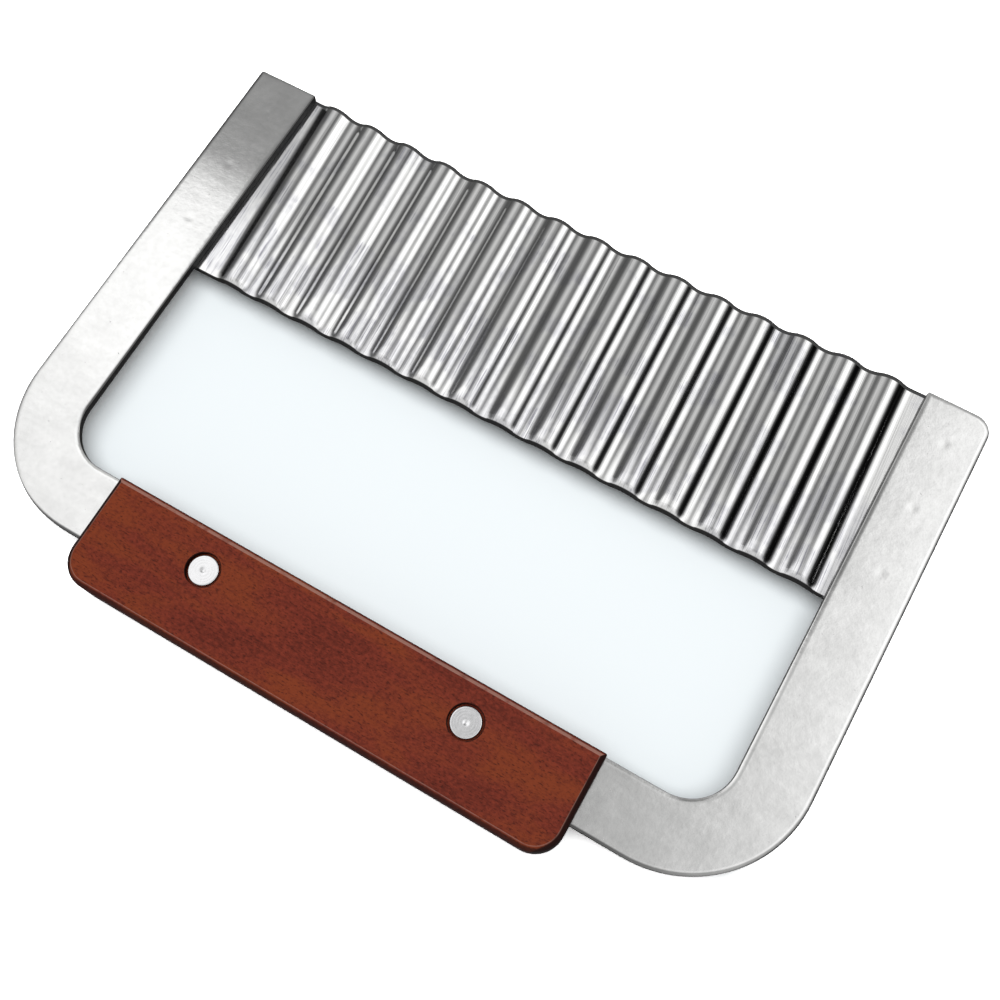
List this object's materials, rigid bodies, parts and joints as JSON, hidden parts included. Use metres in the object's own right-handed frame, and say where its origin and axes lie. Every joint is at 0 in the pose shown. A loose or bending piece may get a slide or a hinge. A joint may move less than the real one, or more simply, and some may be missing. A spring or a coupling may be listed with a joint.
{
  "type": "wavy soap cutter",
  "caption": "Hand-held wavy cutter: corrugated steel blade across a U-shaped steel plate, with a riveted hardwood handle.",
  "frame": {"origin": "below the middle of the outline, on the plane that the back of the handle rests on", "axes": "+X along the handle and the blade, +Y from the handle to the cutting edge, +Z out of the face with the tubular rivet heads"},
  "size_m": [0.19, 0.1276, 0.0121],
  "materials": {
    "satin_steel": "satin",
    "polished_steel": "polished",
    "hardwood": "oiled",
    "rivet_metal": "satin"
  },
  "bodies": {
    "root": {"frame_plate": "satin_steel", "blade": "polished_steel", "handle": "hardwood", "rivet_tube_half_left": "rivet_metal", "rivet_pin_half_left": "rivet_metal", "rivet_tube_half_right": "rivet_metal", "rivet_pin_half_right": "rivet_metal"}
  },
  "joints": []
}
